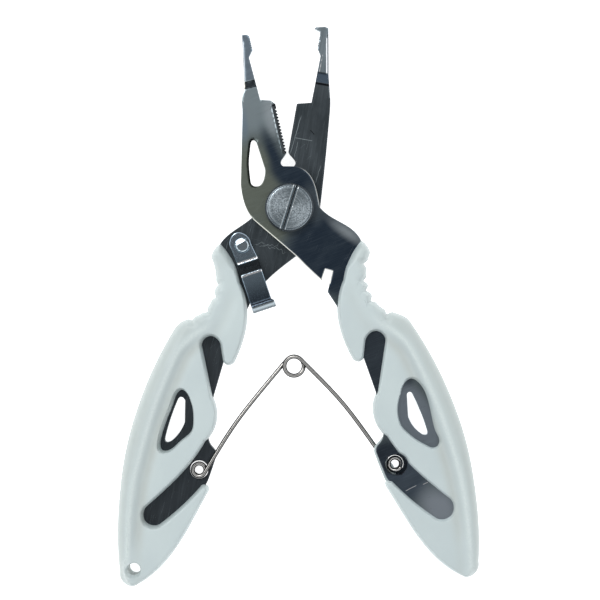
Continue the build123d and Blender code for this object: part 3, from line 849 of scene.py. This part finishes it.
class Paint:
    """A procedural material under construction, in the object's own coordinates.

    Tones are given as 0 to 255 display values, or as a ready linear colour of four numbers.
    """

    def __init__(self, name, roughness, metallic=0.0):
        self.material = bpy.data.materials.new(name)
        self.material.use_nodes = True
        self.tree = self.material.node_tree
        self.shader = self.tree.nodes["Principled BSDF"]
        self.shader.inputs["Roughness"].default_value = roughness
        self.shader.inputs["Metallic"].default_value = metallic
        self.coordinates = self.node("TexCoord", {}).outputs["Object"]
        self.gain = METAL_GAIN if metallic else 1.0
        self.colour = None

    def feed(self, socket, value):
        """Link an output to a socket, or set the socket's own value."""
        if hasattr(value, "links"):
            self.tree.links.new(value, socket)
        else:
            socket.default_value = value

    def node(self, kind, inputs):
        """A new node with the inputs fed that the dictionary names or numbers."""
        node = self.tree.nodes.new("ShaderNode" + kind)
        for name, value in inputs.items():
            self.feed(node.inputs[name], value)
        return node

    def place(self, centre=(0, 0, 0), turn_deg=0.0, size=(1, 1, 1)):
        """Coordinates measured from a centre, along turned axes, in units of size."""
        node = self.node("Mapping", {"Vector": self.coordinates, "Location": centre,
                                     "Rotation": (0, 0, radians(turn_deg)), "Scale": size})
        node.vector_type = "TEXTURE"
        return node.outputs["Vector"]

    def noise(self, vector, detail, rough=0.55, warp=0.0, scale=1.0):
        node = self.node("TexNoise", {"Vector": vector, "Scale": scale, "Detail": detail,
                                      "Roughness": rough, "Distortion": warp})
        return node.outputs["Fac"]

    def grain(self, size, detail, rough=0.55):
        """Noise whose cells are equally large every way."""
        return self.noise(self.place(size=(size, size, size)), detail, rough)

    def span(self, value, low, high, to_low=0.0, to_high=1.0, soft=True):
        """Map a value from one range to another."""
        node = self.node("MapRange", {"Value": value, "From Min": low, "From Max": high,
                                      "To Min": to_low, "To Max": to_high})
        node.interpolation_type = "SMOOTHSTEP" if soft else "LINEAR"
        return node.outputs["Result"]

    def maths(self, operation, first, second=0.5):
        node = self.node("Math", {0: first, 1: second})
        node.operation = operation
        return node.outputs[0]

    def times(self, first, second):
        return self.maths("MULTIPLY", first, second)

    def attribute(self, name):
        """A vector stored on the mesh's vertices."""
        node = self.node("Attribute", {})
        node.attribute_name = name
        return node.outputs["Vector"]

    def axis(self, vector, name):
        return self.node("SeparateXYZ", {0: vector}).outputs[name]

    def length(self, vector):
        node = self.node("VectorMath", {0: vector})
        node.operation = "LENGTH"
        return node.outputs["Value"]

    def patch(self, centre, radii, turn_deg=0.0, core=0.25):
        """1 in the middle of an ellipse in plan, falling softly to 0 at its edge."""
        size = (radii[0] * MM, radii[1] * MM, 1.0)
        vector = self.place((centre[0] * MM, centre[1] * MM, 0), turn_deg, size)
        return self.span(self.length(vector), core, 1.0, 1.0, 0.0)

    def band(self, value, low, high, soft):
        """1 between two values, soft at both ends."""
        rise = self.span(value, low - soft, low + soft)
        return self.times(rise, self.span(value, high - soft, high + soft, 1.0, 0.0))

    def stroke(self, start, end, width, wander=0.0):
        """A hairline scratch between two plan points in mm, bowed a little by noise."""
        run = np.array(end) - np.array(start)
        reach = float(np.linalg.norm(run))
        turn_deg = float(np.degrees(np.arctan2(run[1], run[0])))
        vector = self.place((start[0] * MM, start[1] * MM, 0), turn_deg, (reach * MM, MM, MM))
        drift = self.noise(self.place((start[0] * MM, 0, 0), turn_deg, (0.0016, 1, 1)), 2.0)
        side = self.maths("ADD", self.axis(vector, "Y"), self.span(drift, 0.2, 0.8, -wander, wander))
        line = self.span(self.maths("ABSOLUTE", side), 0.35 * width, width, 1.0, 0.0)
        return self.times(line, self.band(self.axis(vector, "X"), 0.02, 0.98, 0.06))

    def tone(self, value):
        """Reflectance for three display values; an output or a ready colour is passed on."""
        if not isinstance(value, tuple) or len(value) != 3:
            return value
        linear = [((c / 255 + 0.055) / 1.055) ** 2.4 for c in value]
        return tuple(min(1.0, c * self.gain) for c in linear) + (1.0,)

    def mix(self, share, first, second):
        """The first tone going over to the second by a share."""
        node = self.tree.nodes.new("ShaderNodeMix")
        node.data_type = "RGBA"
        self.feed(node.inputs["Factor"], share)
        self.feed(node.inputs["A"], self.tone(first))
        self.feed(node.inputs["B"], self.tone(second))
        return node.outputs["Result"]

    def lay(self, share, tone):
        """Lay a tone over the colour so far, by its share."""
        self.colour = self.mix(share, self.colour, tone)

    def bump(self, height, depth, normal=None):
        node = self.node("Bump", {"Height": height, "Strength": 1.0, "Distance": depth})
        if normal is not None:
            self.feed(node.inputs["Normal"], normal)
        return node.outputs["Normal"]

    def finish(self, roughness, normal=None):
        """Connect colour, roughness and normal, and return the material."""
        self.feed(self.shader.inputs["Base Color"], self.colour)
        self.feed(self.shader.inputs["Roughness"], roughness)
        if normal is not None:
            self.feed(self.shader.inputs["Normal"], normal)
        return self.material


def plastic_material():
    """Pale moulded plastic: fine satin skin, faint clouding, warmer painted shade in the crease and down
    the rib's outer side, and a painted highlight along the rib's crest.
    """
    paint = Paint("grip_plastic", 0.42)
    cloud = paint.noise(paint.place(size=(0.009, 0.014, 0.009)), 3.0)
    paint.colour = paint.mix(paint.span(cloud, 0.3, 0.7), (186, 197, 197), (191, 202, 201))
    relief_shading = paint.attribute("relief_shading")
    shade_mottle = paint.span(paint.grain(0.003, 4.0), 0.25, 0.75, 0.75, 1.0)
    grain = paint.grain(0.0004, 3.0)
    # painted shade down the rib's outer side and in the crease, broken up by noise
    paint.lay(paint.times(paint.axis(relief_shading, "Y"), shade_mottle), (181, 190, 187))
    paint.lay(paint.times(paint.axis(relief_shading, "X"), shade_mottle), (179, 186, 182))
    # painted highlight along the rib's crest, sparkled by fine grain
    crest = paint.times(paint.axis(relief_shading, "Z"), paint.span(grain, 0.35, 0.65, 0.5, 0.95))
    paint.lay(crest, (206, 215, 212))
    specks = paint.grain(0.0011, 1.0)
    paint.lay(paint.span(specks, 0.78, 0.86, 0.0, 0.3), (150, 156, 152))
    skin = paint.grain(0.00022, 3.0)
    wave = paint.grain(0.004, 2.0)
    normal = paint.bump(skin, 0.000012)
    normal = paint.bump(wave, 0.0001, normal)
    rough = paint.span(skin, 0.3, 0.7, 0.36, 0.5)
    return paint.finish(rough, normal)


def brushed(paint, turn_deg, fine=0.00012, long=0.006):
    """Fine grinding lines along one direction."""
    lines = paint.place(turn_deg=turn_deg, size=(long, fine, fine))
    return paint.noise(lines, 3.0, 0.6)


def scratches(paint, turn_deg, width, reach, rarity):
    """Sparse hairline scratches along one direction, as a 0 to 1 mask."""
    vector = paint.place(turn_deg=turn_deg, size=(reach, width, 1.0))
    return paint.span(paint.noise(vector, 1.0, 0.5, 0.4), rarity, rarity + 0.03)


STRAW = (88, 93, 85)
NAVY = (34, 43, 53)

# tones laid over the front blade in turn, a straw tone and light and dark patches of painted reflection and
# shade: centre and radii in millimetres, turn in degrees, share of the radius that is solid, and display
# colour
FRONT_TONES = (
    ((-10.4, 17.0), (1.9, 8.5), 4, 0.2, (96, 108, 117)),
    ((-8.5, 5.5), (9, 13), 8, 0.45, STRAW),
    ((-4.2, -5.0), (5.2, 10), -42, 0.3, STRAW),
    ((-3.6, 12.0), (2.3, 9.2), 22, 0.1, NAVY),
    ((1.5, 7.2), (8.2, 4.4), -24, 0.5, NAVY),
    ((-3.9, 20.4), (2.6, 6.6), 12, 0.1, (126, 133, 136)),
    ((10, -10.5), (13.5, 10.5), -40, 0.6, NAVY),
    ((5, -13.0), (9, 7.5), -50, 0.4, NAVY),
    ((5.4, 1.2), (2.8, 6.5), 12, 0.25, (60, 67, 72)),
    ((12.9, -5.4), (7.5, 2.1), -35, 0.0, (118, 124, 127)),
    ((20.0, -36), (8, 14), 13, 0.75, (44, 50, 56)),
    ((27.5, -49.5), (6.5, 12), 13, 0.7, (100, 107, 113)),
    ((25.0, -60.0), (9, 5.5), -40, 0.5, (56, 64, 72)),
    ((21.5, -55.6), (5.0, 6.0), -40, 0.4, (38, 44, 51)),
    ((33.5, -67), (8, 6), -50, 0.2, (118, 124, 130)),
)


def front_steel_material():
    """Polished, faintly heat-toned steel: light jaw, a dark diagonal sheen and other painted reflections,
    straw tone by the slot, painted shade on the joggle and painted highlights along the edges.
    """
    paint = Paint("front_steel", 0.3, 1.0)
    blade = paint.place(turn_deg=-CLOSE_DEG["right"], size=(MM, MM, MM))
    up = paint.axis(blade, "Y")
    across = paint.axis(blade, "X")
    edge = paint.attribute("edge")
    gap = paint.axis(edge, "X")
    polished = paint.axis(edge, "Y")
    paint.colour = paint.mix(paint.span(up, 20, 15.5), (106, 115, 118), (76, 84, 86))
    for centre, radii, turn_deg, core, tone in FRONT_TONES:
        paint.lay(paint.patch(centre, radii, turn_deg, core), tone)
    # painted shade on the bevel along the teeth
    bevel = paint.times(paint.span(across, 1.2, 1.35), paint.band(up, 12.0, 23.4, 0.2))
    paint.lay(bevel, (38, 41, 43))
    # painted shade over the joggle, darkest along its two bends
    paint.lay(paint.band(up, 27.9, 29.7, 0.12), (24, 27, 29))
    paint.lay(paint.band(up, 28.0, 28.2, 0.1), (10, 12, 14))
    paint.lay(paint.band(up, 29.45, 29.7, 0.1), (10, 12, 14))
    nose = paint.span(up, 29.7, 30.0)
    paint.lay(nose, (88, 98, 106))
    # painted highlight along the nose's polished edge
    rim = paint.times(polished, paint.band(gap, 0.1, 0.24, 0.05))
    paint.lay(paint.times(nose, rim), (200, 205, 206))
    # painted line at the outer edge: a highlight below the nose, painted shade on the nose
    line = paint.times(polished, paint.span(gap, 0.1, 0.22, 0.75, 0.0))
    paint.lay(line, paint.mix(nose, (150, 148, 140), (34, 38, 42)))
    cloud = paint.noise(paint.place(turn_deg=25, size=(0.004, 0.0022, 0.004)), 3.0)
    paint.lay(paint.span(cloud, 0.4, 0.8, 0.0, 0.07), (96, 106, 110))
    lines = brushed(paint, 22)
    paint.lay(paint.span(lines, 0.45, 0.8, 0.0, 0.1), (124, 134, 140))
    hair = scratches(paint, 62, 0.00008, 0.008, 0.74)
    paint.lay(paint.times(hair, 0.2), (150, 156, 160))
    for start, end in (((25.9, -63.1), (28.3, -61.9)), ((29.8, -61.7), (30.9, -61.2))):
        paint.lay(paint.stroke(start, end, 0.09, 0.05), (205, 208, 208))
    # painted shadow down the jaw slot and on the ledge under the spring's eye
    paint.lay(paint.axis(edge, "Z"), (14, 15, 17))
    rough = paint.span(lines, 0.2, 0.8, 0.27, 0.34)
    return paint.finish(rough, paint.bump(lines, 0.000002))


# hairline marks on the rear blade: start, end and width in millimetres, and how far they wander
REAR_MARKS = (
    ((2.6, 20.6), (0.2, 12.2), 0.1, 0.05),
    ((1.2, 15.8), (5.1, 15.1), 0.1, 0.0),
    ((1.9, 14.9), (1.1, 11.4), 0.07, 0.1),
    ((7.0, 9.6), (5.9, 5.8), 0.07, 0.1),
    ((-7.6, -7.6), (-0.8, -9.8), 0.07, 0.9),
    ((-6.8, -8.6), (-2.4, -8.0), 0.06, 0.7),
)


def rear_steel_material():
    """Darker steel with an even ground face, lighter noses, scattered scratches, painted shade on the
    joggle and a painted highlight along the nose's edge.
    """
    paint = Paint("rear_steel", 0.36, 1.0)
    blade = paint.place(turn_deg=-CLOSE_DEG["left"], size=(MM, MM, MM))
    up = paint.axis(blade, "Y")
    cloud = paint.noise(paint.place(size=(0.006, 0.009, 0.006)), 4.0)
    paint.colour = paint.mix(paint.span(cloud, 0.3, 0.7), (41, 46, 49), (56, 61, 64))
    paint.lay(paint.span(up, -8, -30, 0.0, 0.85), (46, 50, 53))
    # painted shade over the joggle: a dark line at its bend and a darker band above it
    paint.lay(paint.band(up, 28.4, 28.9, 0.12), (14, 15, 18))
    paint.lay(paint.band(up, 28.95, 31.0, 0.15), (36, 43, 50))
    nose = paint.span(up, 31.0, 31.3)
    paint.lay(nose, (90, 98, 102))
    edge = paint.attribute("edge")
    gap = paint.axis(edge, "X")
    # painted highlight along the nose's polished edge, with painted shade just outside it
    polished = paint.times(paint.axis(edge, "Y"), nose)
    rim = paint.times(polished, paint.band(gap, 0.3, 0.54, 0.08))
    paint.lay(rim, (230, 232, 232))
    outside = paint.times(polished, paint.span(gap, 0.2, 0.32, 0.85, 0.0))
    paint.lay(outside, (26, 29, 32))
    lines = brushed(paint, 80, 0.00015, 0.008)
    paint.lay(paint.span(lines, 0.5, 0.8, 0.0, 0.12), (100, 108, 112))
    for turn_deg, width, reach, rarity in ((74, 0.0001, 0.010, 0.72), (-14, 0.0001, 0.012, 0.77),
                                           (38, 0.0001, 0.007, 0.76)):
        hair = scratches(paint, turn_deg, width, reach, rarity)
        paint.lay(paint.times(hair, 0.45), (130, 138, 142))
    for start, end, width, wander in REAR_MARKS:
        mark = paint.times(paint.stroke(start, end, width, wander), 0.6)
        paint.lay(mark, (124, 132, 134))
    paint.lay(paint.stroke((4.7, 17.5), (5.6, 16.5), 0.12, 0.05), (16, 18, 20))
    rough = paint.span(lines, 0.2, 0.8, 0.28, 0.42)
    return paint.finish(rough, paint.bump(lines, 0.000004))


def screw_material():
    """Turned steel: concentric tool marks and the painted fan of light they make, painted shade in the
    score and round the rim, and painted light and shade in the slot.
    """
    paint = Paint("turned_steel", 0.34, 1.0)
    plan = paint.place(size=(1, 1, 1000))
    radius = paint.length(plan)
    outward = paint.node("CombineXYZ", {"X": paint.times(radius, 4200.0)}).outputs[0]
    rings = paint.noise(outward, 3.0)
    angle = paint.maths("ARCTAN2", paint.axis(plan, "Y"), paint.axis(plan, "X"))
    fan = paint.maths("COSINE", paint.times(paint.maths("SUBTRACT", angle, 2.7), 2.0))
    paint.colour = paint.mix(paint.span(fan, -1, 1), (76, 84, 88), (132, 140, 144))
    paint.lay(paint.span(rings, 0.4, 0.65, 0.0, 0.4), (144, 152, 156))
    grime = paint.grain(0.0003, 5.0, 0.7)
    paint.lay(paint.span(grime, 0.45, 0.6, 0.0, 0.8), (74, 81, 85))
    glints = paint.grain(0.00022, 3.0, 0.7)
    paint.lay(paint.span(glints, 0.56, 0.7, 0.0, 0.6), (168, 174, 176))
    # painted shade in the score round the face and round the broken rim
    paint.lay(paint.band(radius, 0.00470, 0.00488, 0.00004), (56, 61, 65))
    paint.lay(paint.span(radius, 0.00498, 0.00508), (42, 46, 49))
    turned = paint.place(turn_deg=SLOT_LEAN_DEG, size=(MM, MM, MM))
    cut = paint.axis(turned, "Y")
    sunk = paint.span(radius, 0.005, 0.0052, 1.0, 0.0)
    # painted light and shade on the slot's walls, painted highlights on its lips and painted shade down its
    # middle
    walls = paint.mix(paint.span(cut, -0.1, 0.1), (70, 76, 80), (118, 124, 127))
    paint.lay(paint.times(sunk, paint.band(cut, -0.56, 0.56, 0.04)), walls)
    lips = paint.maths("ADD", paint.band(cut, -0.64, -0.54, 0.04), paint.band(cut, 0.44, 0.64, 0.05))
    paint.lay(paint.times(sunk, lips), (160, 163, 163))
    paint.lay(paint.band(cut, -0.2, 0.06, 0.07), (30, 33, 35))
    rough = paint.span(rings, 0.3, 0.7, 0.28, 0.42)
    normal = paint.bump(rings, 0.000008)
    return paint.finish(rough, paint.bump(grime, 0.000012, normal))


def rivet_material():
    """Bright peened steel with small dull pits."""
    paint = Paint("peened_steel", 0.22, 1.0)
    pits = paint.grain(0.0005, 4.0)
    paint.colour = paint.mix(paint.span(pits, 0.35, 0.7), (118, 126, 130), (78, 87, 93))
    return paint.finish(paint.span(pits, 0.3, 0.7, 0.16, 0.34), paint.bump(pits, 0.000004))


def latch_material():
    """Polished blued strip with painted shade on its slope and in the groove by the lip, and painted
    highlights along its bends.
    """
    paint = Paint("latch_steel", 0.2, 1.0)
    rivet = joint_point("latch_swing")
    strip = paint.place((rivet[0] * MM, rivet[1] * MM, 0), LATCH_LEAN_DEG, (MM, MM, MM))
    wander = paint.span(paint.noise(paint.place(size=(0.0012, 0.0012, 1)), 2.0), 0, 1, -0.12, 0.12)
    s = paint.times(paint.axis(strip, "Y"), -1.0)
    s_bend = paint.maths("ADD", s, wander)
    mottle = paint.noise(paint.place(turn_deg=LATCH_LEAN_DEG, size=(0.00025, 0.00035, 0.001)), 3.0)
    paint.colour = paint.mix(paint.span(s, 6.8, 13.0), (98, 110, 118), (48, 56, 64))
    paint.lay(paint.span(mottle, 0.35, 0.65, 0.0, 0.45), (62, 72, 80))
    paint.lay(paint.span(s, 3.2, 2.2), (96, 106, 114))
    # painted shade on the slope
    paint.lay(paint.band(s, 3.9, 6.4, 0.15), (30, 33, 35))
    # painted highlights along the two bends
    bright = paint.maths("ADD", paint.band(s_bend, 3.3, 3.7, 0.1), paint.band(s_bend, 6.5, 6.85, 0.1))
    paint.lay(bright, (205, 210, 212))
    # painted shade in the groove before the lip
    paint.lay(paint.band(s, 13.2, 13.6, 0.15), (20, 22, 26))
    paint.lay(paint.span(s, 13.75, 14.0), (102, 109, 112))
    return paint.finish(paint.span(mottle, 0.3, 0.7, 0.16, 0.28), paint.bump(mottle, 0.0000015))


def wire_material():
    """Drawn wire with a painted highlight along its upward crown and painted shade down its sides."""
    paint = Paint("spring_wire", 0.16, 1.0)
    streak = paint.noise(paint.attribute("drawn"), 2.0, scale=1.2)
    normal = paint.node("NewGeometry", {}).outputs["Normal"]
    # painted highlight where the wire faces up, painted shade where it faces sideways
    upward = paint.maths("ABSOLUTE", paint.axis(normal, "Z"))
    drift = paint.maths("ADD", upward, paint.span(streak, 0.3, 0.7, -0.015, 0.015, soft=False))
    paint.colour = paint.mix(paint.span(drift, 0.84, 0.93), (0.01, 0.01, 0.01, 1), (0.42, 0.41, 0.39, 1))
    return paint.finish(paint.span(streak, 0.3, 0.7, 0.2, 0.3))


def dress(piece, material):
    """Give a piece one material."""
    piece.data.materials.clear()
    piece.data.materials.append(material)


def break_edges(node, width):
    """Weld a CAD node's split corners and break its sharp edges."""
    piece = frame["nodes"][node]
    weld = piece.modifiers.new("weld", "WELD")
    weld.merge_threshold = 1e-6
    bevel = piece.modifiers.new("edges", "BEVEL")
    bevel.width = width * MM
    bevel.segments = 2
    bevel.limit_method = "ANGLE"
    bevel.angle_limit = radians(35)
    bevel.harden_normals = True
    return piece


left_moulding = make_grip("left", "left_half")
right_moulding = make_grip("right", "right_half")
right_rim = make_rim("right", "right_half")
front_stamping = make_blade("front_blade", "right", "right_half")
rear_stamping = make_blade("rear_blade", "left", "left_half")
latch_strap = make_latch()
rivet_head = make_rivet()
spring_wire = make_spring()
screw = make_screw()
nut = break_edges("pivot_nut", 0.12)

plastic = plastic_material()
turned = screw_material()
for piece in (left_moulding, right_moulding, right_rim):
    dress(piece, plastic)
for piece in (screw, nut):
    dress(piece, turned)
dress(front_stamping, front_steel_material())
dress(rear_stamping, rear_steel_material())
dress(latch_strap, latch_material())
dress(rivet_head, rivet_material())
dress(spring_wire, wire_material())


# ---- stage and camera

def add_world():
    """Studio surround: dim overhead, bright in a ring round it, dim again below."""
    world = bpy.data.worlds.new("studio")
    bpy.context.scene.world = world
    world.use_nodes = True
    tree = world.node_tree
    place = tree.nodes.new("ShaderNodeTexCoord")
    split = tree.nodes.new("ShaderNodeSeparateXYZ")
    ramp = tree.nodes.new("ShaderNodeValToRGB")
    back = tree.nodes["Background"]
    tree.links.new(place.outputs["Generated"], split.inputs[0])
    tree.links.new(split.outputs["Z"], ramp.inputs["Fac"])
    stops = [(0.0, 0.25), (0.35, 0.5), (0.6, 1.6), (0.78, 1.6), (0.88, 0.3), (1.0, 0.2)]
    elements = ramp.color_ramp.elements
    while len(elements) < len(stops):
        elements.new(0.5)
    for element, (place_at, level) in zip(elements, stops):
        element.position = place_at
        element.color = (level * 0.98, level, level * 1.03, 1)
    tree.links.new(ramp.outputs["Color"], back.inputs["Color"])
    back.inputs["Strength"].default_value = 1.0


def add_light(name, place, target, size, power):
    """A round soft light aimed at a target."""
    data = bpy.data.lights.new(name, "AREA")
    data.shape = "DISK"
    data.size = size
    data.energy = power
    lamp = bpy.data.objects.new(name, data)
    lamp.location = place
    lamp.rotation_euler = (Vector(target) - Vector(place)).to_track_quat("-Z", "Y").to_euler()
    bpy.context.scene.collection.objects.link(lamp)


def add_floor():
    """Pale floor, lit evenly from within."""
    bpy.ops.mesh.primitive_plane_add(size=16, location=(0, 0, 0))
    floor = bpy.context.object
    floor.name = "floor"
    floor.location.z = -0.0002
    material = bpy.data.materials.new("floor")
    material.use_nodes = True
    shader = material.node_tree.nodes["Principled BSDF"]
    for name, value in (("Base Color", (0.7, 0.7, 0.7, 1)), ("Roughness", 0.9),
                        ("Emission Color", (1, 1, 1, 1)), ("Emission Strength", 0.85)):
        shader.inputs[name].default_value = value
    floor.data.materials.append(material)


VIEW_CENTRE = Vector((0.00237, -0.02056, 0.0044))
VIEW_WIDTH = 0.1344


def add_camera():
    """A camera straight above the tool, which frames VIEW_WIDTH of it."""
    data = bpy.data.cameras.new("camera")
    data.lens = 120
    data.sensor_width = 36
    data.clip_start = 0.01
    camera = bpy.data.objects.new("camera", data)
    camera.location = VIEW_CENTRE + Vector((0, 0, VIEW_WIDTH * data.lens / data.sensor_width))
    bpy.context.scene.collection.objects.link(camera)
    bpy.context.scene.camera = camera
    bpy.context.scene.view_settings.view_transform = "Standard"


add_world()
add_floor()
add_camera()
add_light("key", (-0.25, 0.3, 0.5), (0, -0.02, 0), 0.25, 1.2)
